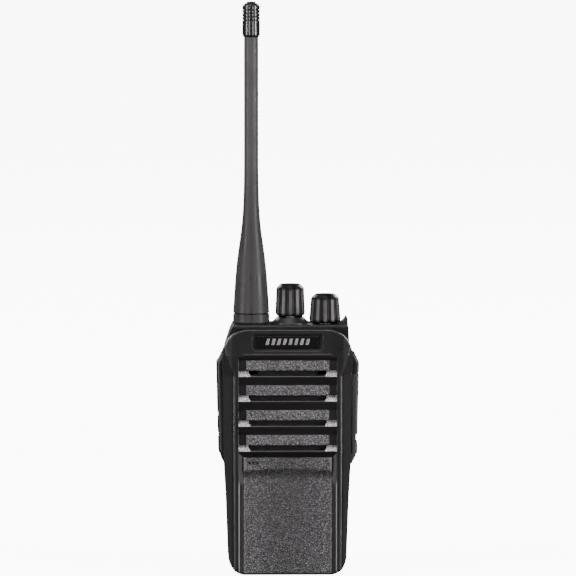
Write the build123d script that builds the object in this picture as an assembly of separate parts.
from build123d import *

import math
import os

# Portable two-way radio with a flexible antenna, standing on its flat bottom.
# Millimetres. +Z is up, the front faces -Y and +X is to the viewer's right.
# The origin is on the bottom face, in the middle of the width.

# ---------------------------------------------------------------- driving dimensions
# Front housing: half widths at a few heights, straight between them.
WIDTH_STATIONS = [(0.0, 25.7), (32.0, 26.85), (52.0, 27.95), (108.0, 28.5)]
FRONT_Y = -19.5
HOUSING_BACK_Y = 3.0
HOUSING_TOP_Z = 107.6
CREASE_X = 23.6
FACET_BACK_Y = -12.5
CREASE_RADIUS = 1.6
SIDE_RADIUS = 3.0
BOTTOM_CORNER_RADIUS = 8.0
SHOULDER_RADIUS = 11.2
WALL = 2.0
BROW_Z = 96.8
BROW_TOP_Y = -16.2
# Above the first of these heights the facets narrow to a small bevel at the second.
FACET_FADE_Z = (87.5, 96.5)
RIM_BEVEL = 2.0
RIM_RADIUS = 0.8
SHELL_STEP_Z = 98.0
SHELL_STEP_Y = -8.0

# Loudspeaker louvres.
LOUVRE_COUNT = 4
LOUVRE_PITCH = 10.9
FIRST_BAR_TOP_Z = 94.3
BAR_HEIGHT = 4.4
BAR_HALF_WIDTH = 18.05
LIP_DROP = 7.1
LIP_HEIGHT = 0.35
FIELD_HALF_WIDTH = 21.5
FIELD_DEPTH = 0.8
LEDGE_DEPTH = 2.2
BAR_PROUD = 0.5
SLOT_HALF_WIDTH = 17.0
SLOT_CORNER_RADIUS = 1.5

# Lower front panel, an inlay in a pocket with slanted walls.
PANEL_HALF_WIDTH = 19.3
PANEL_TOP_Z = 51.7
PANEL_BOTTOM_Z = 1.0
PANEL_BACK_Y = -16.4
PANEL_UPPER_Y = -18.9
PANEL_LOWER_Y = -17.7
POCKET_TOP_Z = 54.1
POCKET_HALF_WIDTH = 21.5
POCKET_FLOOR_Y = -17.9
VALLEY_TOP_Z = 46.9
VALLEY_HEIGHT = 3.4
VALLEY_ARCH_RADIUS = 170.0

# Nameplate on the sloping brow.
BEAD_RADIUS = 0.5
PLATE_WIDTH = 28.3
PLATE_HEIGHT = 5.5
PLATE_CENTRE_Z = 102.4
RECESS_WIDTH = 30.4
RECESS_HEIGHT = 6.6
RECESS_DEPTH = 0.8
RECESS_CORNER_RADIUS = 1.6
RECESS_WALL_SLANT = 35.0
PLATE_THICKNESS = 0.6
MIC_X = -15.1
MIC_Z = 49.4

# Top cover and the parts on it.
DECK_Z = 109.0
DECK_THICKNESS = 1.8
COVER_BACK_Y = 16.0
COVER_FRONT_Y = -11.0
COVER_SKIRT_Z = 88.0
CONTROL_Y = 1.0
CHANNEL_X = 1.5
VOLUME_X = 16.75
ANTENNA_X = -15.6
SHAFT_RADIUS = 2.0
BUSHING_RADIUS = 3.0
RUNNING_CLEARANCE = 0.05
NUT_HEIGHT = 1.8
NUT_FLATS = 8.0
FLUTE_COUNT = 12
FLUTE_RADIUS = 0.95
FLUTE_OFFSET = 0.2
NUT_ROOM_RADIUS = 4.9
CHANNEL_KNOB_Z = (112.3, 126.4)
CHANNEL_KNOB_RADII = (6.5, 6.1)
CHANNEL_SHAFT_TOP_Z = 121.0
VOLUME_KNOB_Z = (109.4, 122.0)
VOLUME_KNOB_RADII = (6.85, 6.15)
VOLUME_SHAFT_TOP_Z = 118.0
LENS_PLACE = (9.9, -5.5)
LENS_RADIUS = 1.5

# Antenna.
THREAD_RADIUS = 3.1
THREAD_CLEARANCE = 0.1
RING_RADIUS = 8.0
RING_TOP_Z = 113.2
CORE_RADIUS = 1.2
CORE_TOP_Z = 240.0
WHIP_RADIUS = 3.15
WHIP_START_Z = 180.0
CAP_BOTTOM_Z = 234.8
CAP_RADIUS = 3.87
CAP_GROOVE_HEIGHTS = [241.8, 243.4, 244.9, 246.4]
CAP_GROOVE_DEPTH = 0.32
ANTENNA_TOP_Z = 250.2

# Chassis and electronics.
CHASSIS_GAP = 0.3
CHASSIS_FRONT_Y = 0.5
CHASSIS_TOP_Z = 95.0
SHELF_Z = (103.1, 105.1)
CHASSIS_REAR_Y = (11.4, 12.8)
BOARD_Y = (-5.0, -3.8)
BOARD_HALF_WIDTH = 22.8
SPEAKER_Z = 75.0
SPEAKER_RADIUS = 18.0
BOSS_PLACES = [(-20.5, 9.0), (20.5, 9.0), (-17.0, 92.6), (17.0, 92.6)]
BOSS_RADIUS = 2.6
SCREW_RADIUS = 1.0

# Side pads: a pocket in each side of the housing, filled by the keys' frame or the accessory cover.
SIDE_POCKET_X = 26.9
SIDE_Y = (-10.8, 1.5)
SIDE_Z = (48.2, 96.9)
PTT_Z = (70.6, 94.0)
UPPER_KEY_Z = (61.6, 69.0)
LOWER_KEY_Z = (52.6, 60.0)
KEY_Y = (-9.4, 0.1)
KEY_GAP = 0.3
KEY_PROUD = 0.3
GRIP_PITCH = 2.6
GRIP_RADIUS = 0.7
PAD_LOW = (29.9, 54.0)
PAD_HIGH = (30.8, 92.6)
PAD_RIM_RADIUS = 1.2
PAD_CORNERS = [0.0, 0.0, 1.5, 3.0, 2.0, 0.0, 0.0]
RIGHT_PAD_PROUD = 0.7
WAIST_X = 30.1
KEY_BACK_X = -27.9
PTT_TRAVEL = 0.8
KEY_TRAVEL = 0.5
HINGE_X = 29.5
HINGE_Z = 89.6
COVER_SCREW_Z = 55.0
COVER_PLATE_TOP_Z = 87.2
BRACKET_BOTTOM_Z = 88.1
BRACKET_CHAMFER = 0.45
SPEAKER_JACK_Z = 78.5
MIC_JACK_Z = 67.5
SPEAKER_JACK_RADIUS = 1.8
MIC_JACK_RADIUS = 1.3
JACK_MOUTH_X = 27.2
JACK_DEPTH = 14.0
JACK_WALL = 0.9
JACK_Y = -4.65
JACKS = [(SPEAKER_JACK_Z, SPEAKER_JACK_RADIUS), (MIC_JACK_Z, MIC_JACK_RADIUS)]

# Battery and belt clip.
BATTERY_FRONT_Y = 3.3
BATTERY_BACK_Y = 17.5
BATTERY_TOP_Z = 87.6
BATTERY_INSET = 0.3
CELL_ROOM = ((-22.6, 22.6), (BATTERY_FRONT_Y, 15.8), (6.0, 84.0))
LID_BACK_Y = 4.8
CONTACT_PLACES = [-7.0, 0.0, 7.0]
CHARGE_PLACES = [(-7.0, 9.0), (7.0, 9.0)]
CLIP_SCREWS = [(-6.5, 70.0), (6.5, 70.0)]
GRIP_GROOVES = 7
TILT_Y = 4.3
TILT_Z = 1.2
CLIP_PIN_Y = 22.0
CLIP_PIN_Z = 77.0
CLIP_PIN_RADIUS = 1.0
CLIP_THICKNESS = 1.8
CLIP_STRIP_Y = 25.0
CLIP_HALF_WIDTH = 9.0
LATCH_TRAVEL = 2.2

FAR = 40.0


# ---------------------------------------------------------------- helpers
def block(x_limits, y_limits, z_limits):
    """Box given by its limits along each axis."""
    sizes = [high - low for low, high in (x_limits, y_limits, z_limits)]
    centre = [(high + low) / 2 for low, high in (x_limits, y_limits, z_limits)]
    return Pos(*centre) * Box(*sizes)


def both_sides(half_width):
    """Limits of a span centred on zero."""
    return (-half_width, half_width)


def side_limits(side, near, far):
    """Span from near to far on the side given by -1 or 1."""
    return (min(side * near, side * far), max(side * near, side * far))


def rod_x(radius, x_limits, y, z):
    """Cylinder along X."""
    middle = (x_limits[0] + x_limits[1]) / 2
    return Pos(middle, y, z) * Rot(0, 90, 0) * Cylinder(radius, x_limits[1] - x_limits[0])


def rod_y(radius, y_limits, x, z):
    """Cylinder along Y."""
    middle = (y_limits[0] + y_limits[1]) / 2
    return Pos(x, middle, z) * Rot(90, 0, 0) * Cylinder(radius, y_limits[1] - y_limits[0])


def rod_z(radius, z_limits, x, y):
    """Cylinder along Z."""
    middle = (z_limits[0] + z_limits[1]) / 2
    return Pos(x, y, middle) * Cylinder(radius, z_limits[1] - z_limits[0])


def outline(points, radii=0.0):
    """Flat face through the points, each corner rounded by its own radius."""
    return make_face(FilletPolyline(*points, radius=radii, close=True))


def prism_x(face, x_limits):
    """Face drawn in Y and Z, extruded along X."""
    return Pos(x_limits[0], 0, 0) * extrude(Plane.YZ * face, x_limits[1] - x_limits[0])


def prism_y(face, y_limits):
    """Face drawn in X and Z, extruded along Y."""
    return Pos(0, y_limits[1], 0) * extrude(Plane.XZ * face, y_limits[1] - y_limits[0])


def prism_z(face, z_limits):
    """Face drawn in X and Y, extruded along Z."""
    return Pos(0, 0, z_limits[0]) * extrude(face, z_limits[1] - z_limits[0])


def turned(points, x, y):
    """Solid of revolution about a vertical axis, from (radius, z) points."""
    profile = make_face(Polyline(*points, close=True))
    return Pos(x, y, 0) * revolve(Plane.XZ * profile, Axis.Z)


def half_width(z):
    """Half width of the housing's side at a height."""
    for (low_z, low), (high_z, high) in zip(WIDTH_STATIONS, WIDTH_STATIONS[1:]):
        if z <= high_z:
            return low + (high - low) * (z - low_z) / (high_z - low_z)
    return WIDTH_STATIONS[-1][1]


def tapered_body(section, extra_heights=()):
    """Solid through one section for each width station, and at any extra heights."""
    heights = sorted([z for z, _ in WIDTH_STATIONS] + list(extra_heights))
    return loft([Pos(0, 0, z) * section(z) for z in heights], ruled=True)


def side_outline(inset, z_limits, bottom_radius, top_radius):
    """Outline in X and Z that follows the tapering sides at an inset."""
    heights = [z_limits[0]]
    heights += [z for z, _ in WIDTH_STATIONS if z_limits[0] < z < z_limits[1]]
    heights += [z_limits[1]]
    right = [(half_width(z) - inset, z) for z in heights]
    left = [(-x, z) for x, z in reversed(right)]
    radii = [bottom_radius] + [0.0] * (len(heights) - 2) + [top_radius]
    return outline(right + left, radii + radii[::-1])


def rounded_box(x_limits, y_limits, z_limits, axis, radius):
    """Box whose edges along one axis are rounded."""
    box = block(x_limits, y_limits, z_limits)
    return fillet(box.edges().filter_by(axis), radius)


# ---------------------------------------------------------------- front housing
def housing_section(z):
    """Flat front, a rounded crease on each side, a slanted facet and a straight side."""
    width = half_width(z)
    crease_x, facet_y = CREASE_X, FACET_BACK_Y
    if z > FACET_FADE_Z[0]:
        crease_x, facet_y = width - RIM_BEVEL, FRONT_Y + RIM_BEVEL
    points = [
        (width, HOUSING_BACK_Y),
        (width, facet_y),
        (crease_x, FRONT_Y),
        (-crease_x, FRONT_Y),
        (-width, facet_y),
        (-width, HOUSING_BACK_Y),
    ]
    side_radius = SIDE_RADIUS if z <= FACET_FADE_Z[0] else CREASE_RADIUS
    return outline(points, [0.0, side_radius, CREASE_RADIUS, CREASE_RADIUS, side_radius, 0.0])


def cavity_section(z):
    """Inside of the housing, one wall in from the outside."""
    inner_width = half_width(z) - WALL
    inner_front = FRONT_Y + LEDGE_DEPTH + 1.3
    inner_facet = FACET_BACK_Y + 0.5
    inner_crease = CREASE_X - 1.6
    points = [
        (inner_width, HOUSING_BACK_Y + 1),
        (inner_width, inner_facet),
        (inner_crease, inner_front),
        (-inner_crease, inner_front),
        (-inner_width, inner_facet),
        (-inner_width, HOUSING_BACK_Y + 1),
    ]
    return outline(points, [0.0, 2.0, 1.0, 1.0, 2.0, 0.0])


def housing_shell():
    """Tapered tub, open at the back, with rounded shoulders and a brow that leans back."""
    front = side_outline(0.0, (0.0, HOUSING_TOP_Z), BOTTOM_CORNER_RADIUS, SHOULDER_RADIUS)
    profile = outline(
        [
            (HOUSING_BACK_Y, 0.0),
            (-18.0, 0.0),
            (FRONT_Y, 2.2),
            (FRONT_Y, BROW_Z),
            (BROW_TOP_Y, HOUSING_TOP_Z),
            (HOUSING_BACK_Y, HOUSING_TOP_Z),
        ],
        [0.0, 0.8, 1.2, 4.0, 0.0, 0.0],
    )
    depth = (FRONT_Y - 1, HOUSING_BACK_Y)
    shell = tapered_body(housing_section, FACET_FADE_Z) & prism_y(front, depth)
    shell = shell & prism_x(profile, both_sides(FAR))
    shell = fillet(brow_rim(shell), RIM_RADIUS)
    inside = side_outline(WALL + 0.05, (WALL + 0.2, HOUSING_TOP_Z - 1.8), 6.0, SHOULDER_RADIUS - WALL)
    cavity = tapered_body(cavity_section) & prism_y(inside, (FRONT_Y, HOUSING_BACK_Y + 1))
    panel_wall_y = PANEL_BACK_Y + 1.6
    cavity -= block(both_sides(FAR), (FRONT_Y, panel_wall_y), (-1, POCKET_TOP_Z - 1.2))
    cavity -= brow_backing()
    shell -= cavity
    return shell - block(both_sides(FAR), (SHELL_STEP_Y, FAR), (SHELL_STEP_Z, HOUSING_TOP_Z + 1))


def brow_rim(shell):
    """Edges around the top of the brow, over both shoulders."""
    lean = (BROW_TOP_Y - FRONT_Y) / (HOUSING_TOP_Z - BROW_Z)

    def on_brow(edge):
        middle = edge @ 0.5
        brow_y = FRONT_Y + (middle.Z - BROW_Z) * lean
        return middle.Z > FACET_FADE_Z[1] and abs(middle.Y - brow_y) < 0.2

    return [edge for edge in shell.edges() if on_brow(edge) and edge.geom_type != GeomType.BSPLINE]


def brow_backing():
    """Keeps the wall behind the leaning brow as thick as elsewhere."""
    lean = (BROW_TOP_Y - FRONT_Y) / (HOUSING_TOP_Z - BROW_Z)
    inner_y = FRONT_Y + LEDGE_DEPTH + 1.3
    points = [
        (FRONT_Y - 5, BROW_Z - 1),
        (inner_y, BROW_Z - 1),
        (inner_y + lean * (HOUSING_TOP_Z - BROW_Z + 1), HOUSING_TOP_Z),
        (FRONT_Y - 5, HOUSING_TOP_Z),
    ]
    return prism_x(outline(points), both_sides(FAR))


def louvre_heights():
    """Top, bottom and lip heights of each louvre, from the top down."""
    heights = []
    for index in range(LOUVRE_COUNT):
        top = FIRST_BAR_TOP_Z - index * LOUVRE_PITCH
        heights.append((top, top - BAR_HEIGHT, top - LIP_DROP))
    return heights


def louvre_field():
    """Everything cut away in front of the louvres: bands that lean in, ledges that face up."""
    cut = None
    start = FIRST_BAR_TOP_Z + 1.4
    for top, bottom, lip in louvre_heights():
        profile = outline(
            [
                (FRONT_Y, start),
                (FRONT_Y + FIELD_DEPTH, top),
                (FRONT_Y + FIELD_DEPTH, bottom),
                (FRONT_Y + LEDGE_DEPTH, bottom),
                (FRONT_Y, lip),
                (FRONT_Y - 3, lip),
                (FRONT_Y - 3, start),
            ]
        )
        piece = prism_x(profile, both_sides(FIELD_HALF_WIDTH))
        cut = piece if cut is None else cut + piece
        start = lip - LIP_HEIGHT
    return cut


def louvre_bar(top, bottom):
    """Bar that leans out towards its lower edge."""
    profile = outline(
        [
            (FRONT_Y + FIELD_DEPTH + 1, top),
            (FRONT_Y + FIELD_DEPTH - 0.3, top),
            (FRONT_Y - BAR_PROUD, bottom),
            (FRONT_Y + FIELD_DEPTH + 1, bottom),
        ],
        [0.0, 0.25, 0.3, 0.0],
    )
    return prism_x(profile, both_sides(BAR_HALF_WIDTH))


def louvre_slot(bottom, lip):
    """Opening under a bar, with rounded lower corners."""
    points = [
        (-SLOT_HALF_WIDTH, bottom),
        (-SLOT_HALF_WIDTH, lip + LIP_HEIGHT),
        (SLOT_HALF_WIDTH, lip + LIP_HEIGHT),
        (SLOT_HALF_WIDTH, bottom),
    ]
    radii = [0.0, SLOT_CORNER_RADIUS, SLOT_CORNER_RADIUS, 0.0]
    return prism_y(outline(points, radii), (FRONT_Y - 2, FRONT_Y + 5))


def panel_pocket():
    """Pocket with slanted walls, open at the bottom, and a straight seat for the inlay."""
    def rectangle(width, top, y):
        face = outline([(-width, -6.0), (width, -6.0), (width, top), (-width, top)])
        return Pos(0, y, 0) * (Plane.XZ * face)

    slope = (POCKET_HALF_WIDTH - PANEL_HALF_WIDTH - 0.1) / (POCKET_FLOOR_Y - FRONT_Y)
    mouth = rectangle(POCKET_HALF_WIDTH + slope, POCKET_TOP_Z + slope, FRONT_Y - 1)
    floor = rectangle(PANEL_HALF_WIDTH + 0.1, PANEL_TOP_Z + 0.1, POCKET_FLOOR_Y)
    seat = block(
        both_sides(PANEL_HALF_WIDTH), (FRONT_Y, PANEL_BACK_Y), (PANEL_BOTTOM_Z, PANEL_TOP_Z)
    )
    return loft([mouth, floor], ruled=True) + seat


def mic_holes():
    """Three small sound holes."""
    spacing = 1.7
    return [rod_y(0.5, (FRONT_Y - 1, -12.0), MIC_X + step * spacing, MIC_Z) for step in (-1, 0, 1)]


def brow_plane(z):
    """Plane on the leaning brow at a height, with its normal outwards."""
    run = BROW_TOP_Y - FRONT_Y
    rise = HOUSING_TOP_Z - BROW_Z
    y = FRONT_Y + (z - BROW_Z) * run / rise
    return Plane(origin=(0, y, z), x_dir=(1, 0, 0), z_dir=(0, -rise, run))


def nameplate_recess():
    """Shallow rounded recess around the nameplate, with slanted walls."""
    face = RectangleRounded(RECESS_WIDTH, RECESS_HEIGHT, RECESS_CORNER_RADIUS)
    tool = extrude(face, 2 * RECESS_DEPTH, taper=-RECESS_WALL_SLANT)
    return brow_plane(PLATE_CENTRE_Z - 0.5) * (Pos(0, 0, -RECESS_DEPTH) * tool)


def screw_bosses():
    """Posts that the chassis screws enter."""
    posts = None
    for x, z in BOSS_PLACES:
        post = rod_y(BOSS_RADIUS, (-16.3, CHASSIS_FRONT_Y), x, z)
        post -= rod_y(SCREW_RADIUS, (-8.0, CHASSIS_FRONT_Y), x, z)
        posts = post if posts is None else posts + post
    return posts


def side_cutouts():
    """Pockets for the side pads, stem holes for the keys and a window for the jacks."""
    cut = block((-FAR, -SIDE_POCKET_X), SIDE_Y, SIDE_Z)
    cut += block((SIDE_POCKET_X, FAR), SIDE_Y, SIDE_Z)
    for low, high in (PTT_Z, UPPER_KEY_Z, LOWER_KEY_Z):
        cut += rod_x(1.8, (-28.0, -24.0), JACK_Y, (low + high) / 2)
    cut += block((20.0, 28.0), (-9.7, 0.4), (61.8, 84.2))
    cut += rod_x(3.2, (20.0, 28.0), JACK_Y, COVER_SCREW_Z)
    return cut


def tilt_ears():
    """Two small ears at the bottom edge that the battery tilts about."""
    ears = None
    for side in (-1, 1):
        limits = (side * 13.5 - 1.5, side * 13.5 + 1.5)
        ear = rod_x(0.9, limits, TILT_Y, TILT_Z)
        ear += block(limits, (HOUSING_BACK_Y - 0.5, TILT_Y), (TILT_Z - 0.9, TILT_Z + 0.9))
        ears = ear if ears is None else ears + ear
    return ears


def front_housing():
    """Front shell with its louvres, pocket, recess, posts and side openings."""
    housing = housing_shell()
    housing -= louvre_field()
    for top, bottom, lip in louvre_heights():
        housing += louvre_bar(top, bottom)
        housing -= louvre_slot(bottom, lip)
    housing -= panel_pocket()
    housing += rod_x(BEAD_RADIUS, both_sides(PANEL_HALF_WIDTH), FRONT_Y + 0.15, BROW_Z - 0.2)
    housing -= nameplate_recess()
    housing += screw_bosses()
    housing -= side_cutouts()
    housing += tilt_ears()
    for hole in mic_holes():
        housing -= hole
    return housing


def front_panel():
    """Grained inlay whose lower part lies deeper, past an arched valley."""
    panel = block(
        both_sides(PANEL_HALF_WIDTH), (PANEL_UPPER_Y, PANEL_BACK_Y), (PANEL_BOTTOM_Z, PANEL_TOP_Z)
    )
    front_edges = panel.faces().sort_by(Axis.Y)[0].edges()
    panel = fillet(front_edges, 0.35)
    rim = VALLEY_ARCH_RADIUS
    centre_z = VALLEY_TOP_Z - rim
    valley = Spline(
        (rim, PANEL_UPPER_Y),
        (rim - VALLEY_HEIGHT, PANEL_LOWER_Y),
        tangents=[(-0.4, 0.25), (-1, 0)],
    )
    rest = Polyline(
        (rim - VALLEY_HEIGHT, PANEL_LOWER_Y),
        (rim - 60, PANEL_LOWER_Y),
        (rim - 60, PANEL_UPPER_Y - 1),
        (rim, PANEL_UPPER_Y - 1),
        (rim, PANEL_UPPER_Y),
    )
    profile = make_face([valley, rest])
    tool = Pos(0, 0, centre_z) * revolve(profile, Axis.Y)
    panel -= tool
    for hole in mic_holes():
        panel -= hole
    return panel


def nameplate():
    """Plain plate with a bevelled rim."""
    plate = extrude(RectangleRounded(PLATE_WIDTH, PLATE_HEIGHT, 0.5), PLATE_THICKNESS)
    plate = chamfer(plate.faces().sort_by(Axis.Z)[-1].edges(), 0.15)
    return brow_plane(PLATE_CENTRE_Z) * (Pos(0, 0, -RECESS_DEPTH) * plate)


# ---------------------------------------------------------------- top cover and chassis
def cover_front_outline():
    """Top cover seen from the front: leaning left side, upright right side."""
    points = [
        (-27.7, COVER_SKIRT_Z),
        (27.7, COVER_SKIRT_Z),
        (27.4, 98.5),
        (26.8, DECK_Z),
        (-23.6, DECK_Z),
        (-25.0, 106.0),
        (-27.5, 98.5),
    ]
    return outline(points, [0.0, 0.0, 2.0, 0.8, 0.8, 2.0, 4.0])


def volume_fin():
    """Guard beside the volume knob, hollowed towards it."""
    inner_x = 22.6
    outer_x = 26.7
    tip_z = 111.6
    hollow = ThreePointArc((inner_x, DECK_Z), (24.7, 109.8), (25.8, tip_z))
    rest = Polyline(
        (25.8, tip_z),
        (26.5, tip_z),
        (outer_x, DECK_Z),
        (outer_x, DECK_Z - 2),
        (inner_x, DECK_Z - 2),
        (inner_x, DECK_Z),
    )
    return prism_y(make_face([hollow, rest]), (-6.0, 12.0))


def channel_boss():
    """Cone that the channel knob stands on, hollow for the nut."""
    inner = 5.0
    top_z = DECK_Z + 2.9
    points = [(inner, DECK_Z - 0.5), (8.4, DECK_Z - 0.5), (8.3, DECK_Z + 0.4), (5.8, top_z), (inner, top_z)]
    return turned(points, CHANNEL_X, CONTROL_Y)


def top_cover():
    """Cap over the controls and the battery's latch, with a skirt down the back."""
    cover = prism_y(cover_front_outline(), (COVER_FRONT_Y, COVER_BACK_Y))
    cover = cover & prism_z(cover_plan(), (COVER_SKIRT_Z, DECK_Z))
    cover = cover & prism_x(cover_side_outline(), both_sides(FAR))
    cover -= cover_room()
    cover += volume_fin()
    cover += channel_boss()
    cover -= rod_z(4.1, (100.0, 112.0), ANTENNA_X, CONTROL_Y)
    for x in (CHANNEL_X, VOLUME_X):
        cover -= rod_z(BUSHING_RADIUS + 0.1, (100.0, 112.0), x, CONTROL_Y)
    cover -= rod_z(LENS_RADIUS, (100.0, 112.0), *LENS_PLACE)
    return cover - block(both_sides(7.4), (13.0, 17.0), (COVER_SKIRT_Z - 1, 96.2))


def cover_plan():
    """Top cover seen from above, with round rear corners."""
    points = [
        (-27.7, COVER_BACK_Y),
        (27.7, COVER_BACK_Y),
        (27.7, COVER_FRONT_Y),
        (-27.7, COVER_FRONT_Y),
    ]
    return outline(points, [6.0, 6.0, 0.0, 0.0])


def cover_side_outline():
    """Top cover seen from the side, stepped over the front housing."""
    points = [
        (COVER_BACK_Y, COVER_SKIRT_Z),
        (COVER_BACK_Y, DECK_Z),
        (COVER_FRONT_Y, DECK_Z),
        (COVER_FRONT_Y, HOUSING_TOP_Z),
        (SHELL_STEP_Y, HOUSING_TOP_Z),
        (SHELL_STEP_Y, SHELL_STEP_Z),
        (HOUSING_BACK_Y, SHELL_STEP_Z),
        (HOUSING_BACK_Y, COVER_SKIRT_Z),
    ]
    return outline(points, [0.0, 2.5, 0.7, 0.0, 0.0, 0.0, 0.0, 0.0])


def cover_room():
    """Inside of the top cover, open at the front and below."""
    inner_top = DECK_Z - DECK_THICKNESS
    front_view = outline(
        [
            (-25.6, 80.0),
            (25.6, 80.0),
            (25.3, 98.0),
            (24.6, inner_top),
            (-22.4, inner_top),
            (-25.0, 99.0),
        ]
    )
    return prism_y(front_view, (SHELL_STEP_Y + 1.6, COVER_BACK_Y - 1.8)) - corner_guard()


def corner_guard():
    """Keeps a wall inside the cover's rounded rear corners."""
    guard = None
    for side in (-1, 1):
        corner = block(side_limits(side, 21.5, 30.0), (10.3, 20.0), (70.0, 110.0))
        corner -= rod_z(4.0, (70.0, 110.0), side * 21.6, 10.3)
        guard = corner if guard is None else guard + corner
    return guard


def led_lens():
    """Clear status light, domed above the deck."""
    low = DECK_Z - 3.5
    rim = DECK_Z + 0.1
    dome = [(1.2, rim + 0.3), (0.6, rim + 0.5), (0, rim + 0.55)]
    return turned([(0, low), (LENS_RADIUS, low), (LENS_RADIUS, rim)] + dome, *LENS_PLACE)


def chassis():
    """Cast frame: back plate, step, rear wall and the shelf that holds the controls."""
    inset = WALL + CHASSIS_GAP
    width = (-22.0, 23.0)
    step_z = (CHASSIS_TOP_Z - 1.8, CHASSIS_TOP_Z)
    plate = prism_y(
        side_outline(inset, (2.6, CHASSIS_TOP_Z), 5.6, 0.0), (CHASSIS_FRONT_Y, HOUSING_BACK_Y)
    )
    step = block(width, (CHASSIS_FRONT_Y, CHASSIS_REAR_Y[1]), step_z)
    wall = block(width, CHASSIS_REAR_Y, (step_z[0], SHELF_Z[1]))
    shelf = block(width, (-6.0, CHASSIS_REAR_Y[1]), SHELF_Z)
    frame = plate + step + wall + shelf
    frame -= rod_z(4.1, (100.0, 106.0), ANTENNA_X, CONTROL_Y)
    for x in (CHANNEL_X, VOLUME_X):
        frame -= rod_z(BUSHING_RADIUS + 0.1, (100.0, 106.0), x, CONTROL_Y)
    for x, z in BOSS_PLACES:
        frame -= rod_y(SCREW_RADIUS + 0.2, (-1.0, 4.0), x, z)
        frame -= rod_y(2.1, (1.4, 4.0), x, z)
    frame -= block(both_sides(11.0), (-1.0, 4.0), (75.0, 81.0))
    for z in (16.0, 30.0, 44.0, 58.0):
        frame -= block(both_sides(17.0), (2.2, 4.0), (z, z + 9.0))
    return frame


def housing_screws():
    """Four pan-head screws from the chassis into the housing's posts."""
    screws = []
    for x, z in BOSS_PLACES:
        screw = rod_y(SCREW_RADIUS, (-7.5, 1.4), x, z) + rod_y(1.9, (1.4, 2.8), x, z)
        screw -= block((x - 1.3, x + 1.3), (2.2, 3.0), (z - 0.25, z + 0.25))
        screw -= block((x - 0.25, x + 0.25), (2.2, 3.0), (z - 1.3, z + 1.3))
        screws.append(screw)
    return Compound(children=screws)


# ---------------------------------------------------------------- controls
def control_body(x, width):
    """Rotary control under the shelf, with its threaded bushing up through the deck."""
    low, high = 96.2, SHELF_Z[0]
    body = block((x - width / 2, x + width / 2), (CONTROL_Y - 5.5, CONTROL_Y + 5.5), (low, high))
    body += rod_z(BUSHING_RADIUS, (high, DECK_Z + NUT_HEIGHT + 0.1), x, CONTROL_Y)
    return body - rod_z(SHAFT_RADIUS + RUNNING_CLEARANCE, (low + 1.2, DECK_Z + 5), x, CONTROL_Y)


def control_shaft(x, top_z):
    """Shaft with a flat where the knob grips it."""
    shaft = rod_z(SHAFT_RADIUS, (97.8, top_z), x, CONTROL_Y)
    return shaft - shaft_flat(x, top_z)


def shaft_flat(x, top_z):
    """Space beside the flat of a shaft."""
    return block((x + 1.4, x + 3.0), (CONTROL_Y - 3, CONTROL_Y + 3), (112.6, top_z + 1))


def control_nuts():
    """Hexagon nuts that clamp both controls to the deck."""
    nuts = []
    for x in (CHANNEL_X, VOLUME_X):
        hexagon = RegularPolygon(NUT_FLATS / 2, 6, major_radius=False)
        nut = Pos(x, CONTROL_Y, 0) * prism_z(hexagon, (DECK_Z, DECK_Z + NUT_HEIGHT))
        nuts.append(nut - rod_z(BUSHING_RADIUS, (DECK_Z - 1, DECK_Z + 4), x, CONTROL_Y))
    return Compound(children=nuts)


def fluted_knob(x, z_limits, radii, shaft_top_z):
    """Tapered knob with rounded flutes, a bevelled crown and a hollow skirt."""
    low, high = z_limits
    wide, narrow = radii
    skirt = [(0.0, low), (wide - 0.9, low), (wide - 0.2, low + 0.6), (wide, low + 1.5), (narrow, high - 2.1)]
    crown = [(narrow - 0.3, high - 1.5), (narrow - 1.5, high - 0.3), (narrow - 2.1, high), (0.0, high)]
    knob = turned(skirt + crown, x, CONTROL_Y)
    for index in range(FLUTE_COUNT):
        angle = 360.0 * (index + 0.5) / FLUTE_COUNT
        knob -= Pos(x, CONTROL_Y, 0) * Rot(0, 0, angle) * flute(low + 2.1, high - 2.0, wide, narrow)
    bore = rod_z(SHAFT_RADIUS, (low - 1, shaft_top_z), x, CONTROL_Y) - shaft_flat(x, shaft_top_z)
    knob -= bore
    return knob - rod_z(NUT_ROOM_RADIUS, (low - 1, DECK_Z + 3.1), x, CONTROL_Y)


def flute(foot_z, head_z, wide, narrow):
    """Round-ended cutter that leans with the knob's side."""
    foot = wide + FLUTE_OFFSET
    head = narrow + FLUTE_OFFSET
    length = head_z - foot_z
    lean = math.degrees(math.atan2(head - foot, length))
    cutter = Cylinder(FLUTE_RADIUS, length)
    cutter += Pos(0, 0, length / 2) * Sphere(FLUTE_RADIUS)
    cutter += Pos(0, 0, -length / 2) * Sphere(FLUTE_RADIUS)
    return Pos((foot + head) / 2, 0, (foot_z + head_z) / 2) * Rot(0, lean, 0) * cutter


# ---------------------------------------------------------------- antenna
def antenna_bush():
    """Threaded socket under the deck."""
    bush = rod_z(4.0, (100.2, DECK_Z), ANTENNA_X, CONTROL_Y)
    bush += rod_z(5.2, (100.2, SHELF_Z[0]), ANTENNA_X, CONTROL_Y)
    return bush - rod_z(THREAD_RADIUS + THREAD_CLEARANCE, (101.4, DECK_Z + 1), ANTENNA_X, CONTROL_Y)


def antenna_seal():
    """Rubber washer between the antenna and the deck."""
    seal = rod_z(6.6, (DECK_Z, DECK_Z + 0.3), ANTENNA_X, CONTROL_Y)
    return seal - rod_z(THREAD_RADIUS + 0.15, (DECK_Z - 1, DECK_Z + 1), ANTENNA_X, CONTROL_Y)


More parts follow.
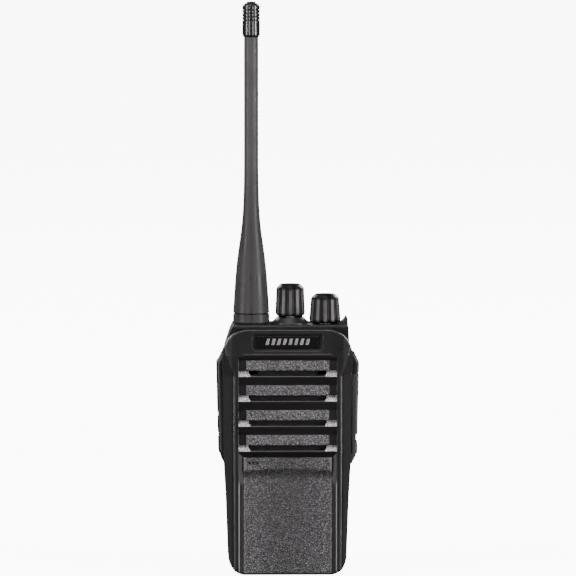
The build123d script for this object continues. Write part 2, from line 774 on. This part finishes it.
def antenna_stud():
    """Stud of the antenna, with thread grooves and a blind hole for the core."""
    stud = rod_z(THREAD_RADIUS, (101.9, 112.0), ANTENNA_X, CONTROL_Y)
    for turn in range(7):
        groove = (102.8 + turn * 0.9, 103.1 + turn * 0.9)
        ring = rod_z(THREAD_RADIUS + 1, groove, ANTENNA_X, CONTROL_Y)
        stud -= ring - rod_z(THREAD_RADIUS - 0.25, groove, ANTENNA_X, CONTROL_Y)
    return stud - rod_z(CORE_RADIUS, (110.5, 113.0), ANTENNA_X, CONTROL_Y)


def antenna_ring():
    """Moulded ring at the foot of the antenna."""
    low = DECK_Z + 0.35
    side = [(RING_RADIUS - 0.4, low), (RING_RADIUS, low + 0.4), (RING_RADIUS, RING_TOP_Z)]
    ring = turned([(0, low)] + side + [(0, RING_TOP_Z)], ANTENNA_X, CONTROL_Y)
    ring -= rod_z(THREAD_RADIUS, (low - 1, 112.0), ANTENNA_X, CONTROL_Y)
    return ring - rod_z(CORE_RADIUS, (111.0, RING_TOP_Z + 1), ANTENNA_X, CONTROL_Y)


def antenna_core():
    """Flexible metal whip inside the sheath."""
    return rod_z(CORE_RADIUS, (110.5, CORE_TOP_Z), ANTENNA_X, CONTROL_Y)


def antenna_sheath():
    """Rubber sheath: a cone that flows into a slim whip, with a groove above the ring."""
    shoulder_z = RING_TOP_Z + 0.6
    flow = Spline(
        (RING_RADIUS - 0.02, shoulder_z),
        (7.3, 124.5),
        (5.95, 139.0),
        (4.25, 151.5),
        (3.42, 164.0),
        (WHIP_RADIUS, WHIP_START_Z),
        tangents=[(-0.06, 1), (-0.005, 1)],
    )
    rest = Polyline(
        (WHIP_RADIUS, WHIP_START_Z),
        (WHIP_RADIUS, CAP_BOTTOM_Z),
        (CORE_RADIUS, CAP_BOTTOM_Z),
        (CORE_RADIUS, RING_TOP_Z),
        (RING_RADIUS - 0.45, RING_TOP_Z),
        (RING_RADIUS - 0.45, shoulder_z),
        (RING_RADIUS - 0.02, shoulder_z),
    )
    profile = make_face([flow, rest])
    return Pos(ANTENNA_X, CONTROL_Y, 0) * revolve(Plane.XZ * profile, Axis.Z)


def antenna_cap():
    """Tip cap with narrow grooves, a domed shoulder and a small disc on top."""
    side = [(3.4, CAP_BOTTOM_Z), (CAP_RADIUS, CAP_BOTTOM_Z + 0.8)]
    for groove_z in CAP_GROOVE_HEIGHTS:
        floor_radius = CAP_RADIUS - CAP_GROOVE_DEPTH
        side += [(CAP_RADIUS, groove_z), (floor_radius, groove_z + 0.15)]
        side += [(floor_radius, groove_z + 0.45), (CAP_RADIUS, groove_z + 0.6)]
    shoulder = [(CAP_RADIUS, 248.05), (3.7, 248.6), (3.3, 249.05), (2.7, 249.4), (2.2, 249.55)]
    disc = [(1.95, 249.6), (1.9, 250.05), (1.7, ANTENNA_TOP_Z)]
    axis_points = [(0.0, ANTENNA_TOP_Z), (0.0, CAP_BOTTOM_Z)]
    cap = turned(side + shoulder + disc + axis_points, ANTENNA_X, CONTROL_Y)
    return cap - rod_z(CORE_RADIUS, (CAP_BOTTOM_Z - 1, CORE_TOP_Z), ANTENNA_X, CONTROL_Y)


# ---------------------------------------------------------------- sides
def pad_outline(proud):
    """Side pad seen from the front, on the right, standing out from the housing."""
    return [
        (SIDE_POCKET_X, SIDE_Z[0]),
        (27.6 + proud, SIDE_Z[0]),
        (29.0 + proud, 51.0),
        (PAD_LOW[0] + proud, PAD_LOW[1]),
        (PAD_HIGH[0] + proud, PAD_HIGH[1]),
        (28.7 + proud, SIDE_Z[1]),
        (SIDE_POCKET_X, SIDE_Z[1]),
    ]


def pad_x(z):
    """How far out a side pad's straight face is at a height."""
    slope = (PAD_HIGH[0] - PAD_LOW[0]) / (PAD_HIGH[1] - PAD_LOW[1])
    return PAD_LOW[0] + slope * (z - PAD_LOW[1])


def rim_edges(slab, y_limits, inner_x):
    """Edges along the front and rear rims of a pad, away from the housing."""
    middle_y = sum(y_limits) / 2
    edges = [(abs(e.center().X), abs(e.center().Y - middle_y), e) for e in slab.edges()]
    return [edge for x, y, edge in edges if x > inner_x and y > 1]


def left_pad(proud, y_limits, radius=0.0):
    """Slab shaped like the left side pad."""
    points = [(-x, z) for x, z in pad_outline(proud)]
    slab = prism_y(outline(points, PAD_CORNERS), y_limits)
    if radius:
        slab = fillet(rim_edges(slab, y_limits, 27.6), radius)
    return slab


def key_frame():
    """Frame around the three side keys."""
    frame = left_pad(0.0, SIDE_Y, PAD_RIM_RADIUS)
    for limits in (PTT_Z, UPPER_KEY_Z, LOWER_KEY_Z):
        frame -= rounded_box((-FAR, -SIDE_POCKET_X + 1), KEY_Y, limits, Axis.X, 1.4)
    return frame


def side_key(z_limits, ridge_count):
    """Key with a gap all round, a stem to its switch and grip grooves."""
    low, high = z_limits[0] + KEY_GAP, z_limits[1] - KEY_GAP
    y_limits = (KEY_Y[0] + KEY_GAP, KEY_Y[1] - KEY_GAP)
    cap = rounded_box((-FAR, KEY_BACK_X), y_limits, (low, high), Axis.X, 1.2)
    cap = cap & left_pad(KEY_PROUD, SIDE_Y)
    middle = (low + high) / 2
    key = cap + rod_x(1.5, (KEY_BACK_X, -26.1), JACK_Y, middle)
    for index in range(ridge_count):
        z = middle + (index - (ridge_count - 1) / 2) * GRIP_PITCH
        groove_x = -(pad_x(z) + KEY_PROUD + GRIP_RADIUS / 2)
        key -= rod_y(GRIP_RADIUS, (JACK_Y - 3.2, JACK_Y + 3.2), groove_x, z)
    return key


def key_board():
    """Side board with a dome switch behind each key."""
    board = block((-24.4, -23.5), (-9.0, -0.3), (50.5, 95.5))
    for low, high in (PTT_Z, UPPER_KEY_Z, LOWER_KEY_Z):
        board += rod_x(2.0, (-24.9, -24.4), JACK_Y, (low + high) / 2)
    return board


def right_pad(y_limits, z_limits, inner_x):
    """Part of the right side pad between two heights."""
    slab = prism_y(outline(pad_outline(RIGHT_PAD_PROUD), PAD_CORNERS), y_limits)
    slab = fillet(rim_edges(slab, y_limits, 28.0), PAD_RIM_RADIUS)
    return slab & block((inner_x, FAR), y_limits, z_limits)


def cover_bracket():
    """Fixed upper end of the right pad, with two ears for the hinge pin."""
    bracket = right_pad(SIDE_Y, (BRACKET_BOTTOM_Z, SIDE_Z[1]), SIDE_POCKET_X)
    outer_x = pad_x(BRACKET_BOTTOM_Z) + RIGHT_PAD_PROUD
    corner = [
        (outer_x - BRACKET_CHAMFER, BRACKET_BOTTOM_Z),
        (outer_x + 1, BRACKET_BOTTOM_Z - 1),
        (outer_x + 1, BRACKET_BOTTOM_Z + BRACKET_CHAMFER + 1),
    ]
    bracket -= prism_y(outline(corner), SIDE_Y)
    bracket -= block((SIDE_POCKET_X - 1, FAR), (-7.6, -1.7), (88.0, 92.1))
    return bracket - rod_y(0.6, (-9.8, 0.5), HINGE_X, HINGE_Z)


def cover_pin():
    """Hinge pin of the accessory cover."""
    return rod_y(0.6, (-9.8, 0.5), HINGE_X, HINGE_Z)


def accessory_cover():
    """Cover over the jacks: plate, neck and barrel, and a waist for its screw."""
    plate = right_pad(SIDE_Y, (SIDE_Z[0], COVER_PLATE_TOP_Z), 27.8)
    plate -= block((20.0, 28.4), SIDE_Y, (52.4, 87.6))
    plate -= block((WAIST_X, FAR), SIDE_Y, (48.0, 61.0))
    plate += rod_x(4.4, (27.9, WAIST_X), JACK_Y, COVER_SCREW_Z)
    neck = block((HINGE_X - 0.9, HINGE_X + 0.9), (-7.3, -2.0), (86.5, HINGE_Z))
    barrel = rod_y(1.35, (-7.3, -2.0), HINGE_X, HINGE_Z)
    cover = plate + neck + barrel
    cover -= rod_y(0.6 + RUNNING_CLEARANCE, (-10.0, 1.0), HINGE_X, HINGE_Z)
    for index in range(3):
        z = 79.0 - index * 3.0
        groove_x = pad_x(z) + RIGHT_PAD_PROUD + GRIP_RADIUS / 2
        cover -= rod_y(GRIP_RADIUS, (JACK_Y - 3.5, JACK_Y + 3.5), groove_x, z)
    cover -= rod_x(3.3, (29.3, FAR), JACK_Y, COVER_SCREW_Z)
    return cover - rod_x(1.45, (20.0, FAR), JACK_Y, COVER_SCREW_Z)


def cover_screw():
    """Captive thumb screw of the accessory cover, with a coin slot."""
    screw = rod_x(3.0, (29.4, 30.8), JACK_Y, COVER_SCREW_Z)
    screw = chamfer(screw.faces().sort_by(Axis.X)[-1].edges(), 0.3)
    screw += rod_x(1.4, (26.0, 29.4), JACK_Y, COVER_SCREW_Z)
    slot_z = (COVER_SCREW_Z - 0.4, COVER_SCREW_Z + 0.4)
    return screw - block((30.2, 31.0), (JACK_Y - 2.4, JACK_Y + 2.4), slot_z)


def cover_insert():
    """Brass insert in the housing that the cover's screw enters."""
    insert = rod_x(3.2, (21.4, 26.6), JACK_Y, COVER_SCREW_Z)
    return insert - rod_x(1.8, (22.6, 27.0), JACK_Y, COVER_SCREW_Z)


def jack_block():
    """Moulded holder of both jacks."""
    back_x = JACK_MOUTH_X - JACK_DEPTH
    holder = block((back_x - 0.7, JACK_MOUTH_X - 0.2), KEY_Y, (62.0, 84.0))
    for z, radius in JACKS:
        holder -= rod_x(radius + JACK_WALL, (back_x, JACK_MOUTH_X + 1), JACK_Y, z)
    return holder


def jack_sleeve(z, radius):
    """Metal sleeve of one jack."""
    sleeve = rod_x(radius + JACK_WALL, (JACK_MOUTH_X - JACK_DEPTH, JACK_MOUTH_X), JACK_Y, z)
    return sleeve - rod_x(radius, (JACK_MOUTH_X - JACK_DEPTH + 0.6, JACK_MOUTH_X + 1), JACK_Y, z)


# ---------------------------------------------------------------- inside
def speaker_mesh():
    """Woven cloth behind the slots, cut back around the upper posts."""
    cloth = block(both_sides(19.0), (-15.9, -15.6), (53.5, 95.0))
    for side in (-1, 1):
        cloth -= block(side_limits(side, 13.0, 20.0), (-16.0, -15.0), (88.0, 96.0))
    return cloth


def speaker():
    """Loudspeaker: basket, stepped rim and magnet."""
    basket = rod_y(SPEAKER_RADIUS, (-15.5, -14.3), 0, SPEAKER_Z)
    basket += rod_y(SPEAKER_RADIUS - 2.5, (-14.3, -11.8), 0, SPEAKER_Z)
    basket += rod_y(9.0, (-11.8, -8.6), 0, SPEAKER_Z)
    return basket


def speaker_clamp():
    """Strip that holds the loudspeaker by its magnet."""
    strip = block(both_sides(21.0), (-8.5, -7.7), (71.0, 79.0))
    return strip - block((11.5, 22.0), (-9.0, -7.0), (70.0, 80.0))


def microphone():
    """Microphone capsule behind the sound holes."""
    return rod_y(3.0, (-14.2, -12.2), MIC_X, MIC_Z)


def mic_boot():
    """Rubber boot around the microphone."""
    boot = rod_y(4.0, (-14.8, -11.4), MIC_X, MIC_Z)
    boot -= rod_y(3.0, (-14.2, -11.0), MIC_X, MIC_Z)
    return boot - rod_y(2.3, (-15.0, -14.0), MIC_X, MIC_Z)


def main_board():
    """Main circuit board, notched for the jacks and pierced for the posts."""
    board = block(both_sides(BOARD_HALF_WIDTH), BOARD_Y, (6.0, 95.0))
    board -= block((12.0, 24.0), (-6.0, -3.0), (61.0, 85.0))
    board -= block((20.6, 24.0), (-6.0, -3.0), (50.0, 60.0))
    for x, z in BOSS_PLACES:
        board -= rod_y(BOSS_RADIUS + 0.3, (-6.0, -3.0), x, z)
    return board


def shield_can(x_limits, z_limits):
    """Thin folded can, open towards the board."""
    sheet = 0.25
    y_limits = (BOARD_Y[1], -0.4)
    can = block(x_limits, y_limits, z_limits)
    inner_x = (x_limits[0] + sheet, x_limits[1] - sheet)
    inner_z = (z_limits[0] + sheet, z_limits[1] - sheet)
    return can - block(inner_x, (y_limits[0] - 1, y_limits[1] - sheet), inner_z)


def rf_shields():
    """Two shield cans on the main board."""
    lower = shield_can((-17.0, 17.0), (14.0, 40.0))
    upper = shield_can((-18.0, 10.0), (44.0, 70.0))
    return Compound(children=[lower, upper])


def contact_block():
    """Holder of the spring contacts that meet the battery."""
    holder = block(both_sides(11.0), (0.9, 2.9), (75.0, 81.0))
    for x in CONTACT_PLACES:
        holder -= block((x - 1.3, x + 1.3), (0.0, 4.0), (76.4, 79.6))
    return holder


def contact_springs():
    """Gold-plated leaves in the contact block."""
    leaves = []
    for x in CONTACT_PLACES:
        leaf = block((x - 1.3, x + 1.3), (0.9, 3.2), (76.4, 79.6))
        rear_edges = leaf.faces().sort_by(Axis.Y)[-1].edges().filter_by(Axis.X)
        leaves.append(fillet(rear_edges, 0.8))
    return Compound(children=leaves)


# ---------------------------------------------------------------- battery
def battery_section(z):
    """Square towards the radio, rounded at the back."""
    width = half_width(z) - BATTERY_INSET
    points = [
        (width, BATTERY_FRONT_Y),
        (width, BATTERY_BACK_Y),
        (-width, BATTERY_BACK_Y),
        (-width, BATTERY_FRONT_Y),
    ]
    return outline(points, [0.0, 6.0, 6.0, 0.0])


def battery_case():
    """Battery shell with rounded rear corners, grip grooves and a shallow panel on its back."""
    front = side_outline(BATTERY_INSET, (0.0, BATTERY_TOP_Z), BOTTOM_CORNER_RADIUS - 0.3, 0.6)
    profile = outline(
        [
            (BATTERY_FRONT_Y, 1.1),
            (BATTERY_FRONT_Y + 1.1, 0.0),
            (BATTERY_BACK_Y, 0.0),
            (BATTERY_BACK_Y, BATTERY_TOP_Z),
            (BATTERY_FRONT_Y, BATTERY_TOP_Z),
        ],
        [0.0, 0.0, 3.0, 1.0, 0.0],
    )
    case = tapered_body(battery_section) & prism_y(front, (BATTERY_FRONT_Y, BATTERY_BACK_Y))
    case = case & prism_x(profile, both_sides(FAR))
    case -= block(*CELL_ROOM)
    case -= rounded_box(both_sides(17.0), (BATTERY_BACK_Y - 0.35, FAR), (16.0, 60.0), Axis.Y, 2.0)
    for side in (-1, 1):
        case -= block(side_limits(side, 11.5, 15.5), (0.0, 6.2), (-1.0, 3.2))
        for index in range(GRIP_GROOVES):
            z = 22.0 + index * 3.2
            groove_x = side * (half_width(z) - BATTERY_INSET + 0.5)
            case -= rod_y(0.9, (7.0, 14.0), groove_x, z)
    for x, z in CHARGE_PLACES:
        case -= rod_y(2.0, (15.0, FAR), x, z)
    for x, z in CLIP_SCREWS:
        case -= rod_y(1.2, (15.0, FAR), x, z)
    return case


def battery_lid():
    """Flat lid that closes the battery towards the radio."""
    lid = block(CELL_ROOM[0], (BATTERY_FRONT_Y, LID_BACK_Y), CELL_ROOM[2])
    for x in CONTACT_PLACES:
        lid -= block((x - 2.0, x + 2.0), (0.0, 6.0), (75.8, 80.2))
    return lid


def battery_contacts():
    """Flat contacts that face the radio's spring contacts."""
    y_limits = (BATTERY_FRONT_Y + 0.1, LID_BACK_Y + 0.9)
    pads = [block((x - 2.0, x + 2.0), y_limits, (75.8, 80.2)) for x in CONTACT_PLACES]
    return Compound(children=pads)


def battery_board():
    """Protection board above the cells."""
    return block(both_sides(20.0), (LID_BACK_Y + 0.9, LID_BACK_Y + 1.9), (74.5, 83.0))


def battery_cells():
    """Two flat cells side by side."""
    cells = []
    for side in (-1, 1):
        cells.append(rounded_box(side_limits(side, 0.4, 22.0), (5.2, 15.6), (7.0, 73.0), Axis.Z, 2.0))
    return Compound(children=cells)


def charging_contacts():
    """Round contacts for a desk charger."""
    pads = []
    for x, z in CHARGE_PLACES:
        pads.append(rod_y(2.0, (15.9, BATTERY_BACK_Y - 0.25), x, z))
    return Compound(children=pads)


def battery_latch():
    """Sliding latch in the top cover's back: thumb pad, slide plate and the web between them."""
    pad = rounded_box(both_sides(7.0), (14.4, 16.7), (88.6, 93.6), Axis.Y, 0.8)
    plate = block(both_sides(9.0), (13.1, 14.0), (88.3, 94.0))
    web = block(both_sides(6.0), (13.9, 14.5), (89.2, 93.2))
    latch = pad + plate + web
    for index in range(3):
        latch -= rod_x(0.4, both_sides(5.0), 16.8, 89.9 + index * 1.2)
    return latch


def coil(radius, wire, turns, pitch):
    """Closed-wound coil about Z, each turn a ring that merges with the next."""
    height = turns * pitch
    body = Cylinder(radius, height) - Cylinder(radius - wire, height)
    for turn in range(turns + 1):
        body += Pos(0, 0, -height / 2 + turn * pitch) * Torus(radius - wire / 2, wire / 2 + 0.05)
    return body


def latch_springs():
    """Pair of springs above the latch, drawn pressed."""
    springs = [Pos(side * 6.0, 13.55, 99.0) * coil(0.55, 0.3, 5, 0.9) for side in (-1, 1)]
    return Compound(children=springs)


# ---------------------------------------------------------------- belt clip
def clip_base():
    """Plate on the battery's back with two ears for the clip's pin."""
    base = rounded_box(both_sides(11.5), (BATTERY_BACK_Y, 19.3), (66.5, 83.5), Axis.Y, 2.0)
    for side in (-1, 1):
        limits = side_limits(side, 9.3, 11.5)
        ear = rod_x(2.4, limits, CLIP_PIN_Y, CLIP_PIN_Z)
        ear += block(limits, (19.0, CLIP_PIN_Y), (CLIP_PIN_Z - 2.4, CLIP_PIN_Z + 2.4))
        base += ear
    base -= rod_x(CLIP_PIN_RADIUS, both_sides(11.0), CLIP_PIN_Y, CLIP_PIN_Z)
    for x, z in CLIP_SCREWS:
        base -= rod_y(1.4, (17.0, 20.0), x, z)
        base -= rod_y(2.3, (18.1, 20.0), x, z)
    return base


def clip_screws():
    """Two screws that hold the clip's base to the battery."""
    screws = []
    for x, z in CLIP_SCREWS:
        screw = rod_y(1.2, (15.9, 18.1), x, z) + rod_y(2.2, (18.1, 19.2), x, z)
        screw -= block((x - 1.4, x + 1.4), (18.7, 20.0), (z - 0.3, z + 0.3))
        screw -= block((x - 0.3, x + 0.3), (18.7, 20.0), (z - 1.4, z + 1.4))
        screws.append(screw)
    return Compound(children=screws)


def clip_pin():
    """Steel pin of the belt clip."""
    return rod_x(CLIP_PIN_RADIUS, both_sides(11.0), CLIP_PIN_Y, CLIP_PIN_Z)


def belt_clip():
    """Sprung clip: long strip with a hooked lower end, a thumb tab and two barrels on the pin."""
    half = CLIP_THICKNESS / 2
    side_view = [(24.2, 89.0), (CLIP_STRIP_Y, 84.0), (CLIP_STRIP_Y, 24.0), (19.0, 15.0), (20.4, 10.5)]
    middle = FilletPolyline(*side_view, radius=[3.0, 6.0, 2.0])
    strip = prism_x(trace(middle, CLIP_THICKNESS), both_sides(CLIP_HALF_WIDTH))
    clip = strip & prism_y(clip_plan(), (15.0, 30.0))
    for side in (-1, 1):
        limits = side_limits(side, 3.6, CLIP_HALF_WIDTH)
        clip += rod_x(2.3, limits, CLIP_PIN_Y, CLIP_PIN_Z)
        clip += block(limits, (CLIP_PIN_Y, CLIP_STRIP_Y), (CLIP_PIN_Z - 2.3, CLIP_PIN_Z + 2.3))
    clip -= rod_x(CLIP_PIN_RADIUS + RUNNING_CLEARANCE, both_sides(12.0), CLIP_PIN_Y, CLIP_PIN_Z)
    for z in (36.0, 48.0, 60.0):
        groove_y = (CLIP_STRIP_Y + half - 0.4, FAR)
        clip -= rounded_box(both_sides(5.5), groove_y, (z - 0.9, z + 0.9), Axis.Y, 0.8)
    return clip


def clip_plan():
    """Clip seen from behind, narrower at its lower end."""
    points = [
        (-7.5, 8.0),
        (7.5, 8.0),
        (CLIP_HALF_WIDTH, 30.0),
        (CLIP_HALF_WIDTH, 91.0),
        (-CLIP_HALF_WIDTH, 91.0),
        (-CLIP_HALF_WIDTH, 30.0),
    ]
    return outline(points, [3.0, 3.0, 20.0, 3.0, 3.0, 20.0])


def clip_spring():
    """Torsion spring around the pin, with a leg on the base."""
    spring = Pos(0, CLIP_PIN_Y, CLIP_PIN_Z) * Rot(0, 90, 0) * coil(1.75, 0.55, 7, 0.75)
    return spring + block((-2.9, -2.3), (19.3, CLIP_PIN_Y), (CLIP_PIN_Z - 1.7, CLIP_PIN_Z - 1.2))


# ---------------------------------------------------------------- write every node
def control_nodes():
    """Knobs, shafts and rotary controls."""
    channel_top = CHANNEL_SHAFT_TOP_Z
    volume_top = VOLUME_SHAFT_TOP_Z
    return {
        "channel_switch": control_body(CHANNEL_X, 11.0),
        "channel_shaft": control_shaft(CHANNEL_X, channel_top),
        "channel_knob": fluted_knob(CHANNEL_X, CHANNEL_KNOB_Z, CHANNEL_KNOB_RADII, channel_top),
        "volume_control": control_body(VOLUME_X, 10.0),
        "volume_shaft": control_shaft(VOLUME_X, volume_top),
        "volume_knob": fluted_knob(VOLUME_X, VOLUME_KNOB_Z, VOLUME_KNOB_RADII, volume_top),
        "control_nuts": control_nuts(),
    }


def all_nodes():
    """Every node by name."""
    nodes = {
        "front_housing": front_housing(),
        "front_panel": front_panel(),
        "nameplate": nameplate(),
        "top_cover": top_cover(),
        "led_lens": led_lens(),
        "chassis": chassis(),
        "housing_screws": housing_screws(),
        "antenna_bush": antenna_bush(),
        "antenna_seal": antenna_seal(),
        "antenna_stud": antenna_stud(),
        "antenna_ring": antenna_ring(),
        "antenna_core": antenna_core(),
        "antenna_sheath": antenna_sheath(),
        "antenna_cap": antenna_cap(),
        "key_frame": key_frame(),
        "ptt_button": side_key(PTT_Z, 5),
        "upper_side_key": side_key(UPPER_KEY_Z, 1),
        "lower_side_key": side_key(LOWER_KEY_Z, 1),
        "key_board": key_board(),
        "cover_bracket": cover_bracket(),
        "cover_pin": cover_pin(),
        "accessory_cover": accessory_cover(),
        "cover_screw": cover_screw(),
        "cover_insert": cover_insert(),
        "jack_block": jack_block(),
        "speaker_jack": jack_sleeve(*JACKS[0]),
        "microphone_jack": jack_sleeve(*JACKS[1]),
        "speaker_mesh": speaker_mesh(),
        "speaker": speaker(),
        "speaker_clamp": speaker_clamp(),
        "microphone": microphone(),
        "mic_boot": mic_boot(),
        "main_board": main_board(),
        "rf_shields": rf_shields(),
        "contact_block": contact_block(),
        "contact_springs": contact_springs(),
        "battery_case": battery_case(),
        "battery_lid": battery_lid(),
        "battery_contacts": battery_contacts(),
        "battery_board": battery_board(),
        "battery_cells": battery_cells(),
        "charging_contacts": charging_contacts(),
        "battery_latch": battery_latch(),
        "latch_springs": latch_springs(),
        "clip_base": clip_base(),
        "clip_screws": clip_screws(),
        "clip_pin": clip_pin(),
        "clip_spring": clip_spring(),
        "belt_clip": belt_clip(),
    }
    nodes.update(control_nodes())
    return nodes


os.makedirs("parts", exist_ok=True)
for name, shape in all_nodes().items():
    export_step(shape, f"parts/{name}.step")
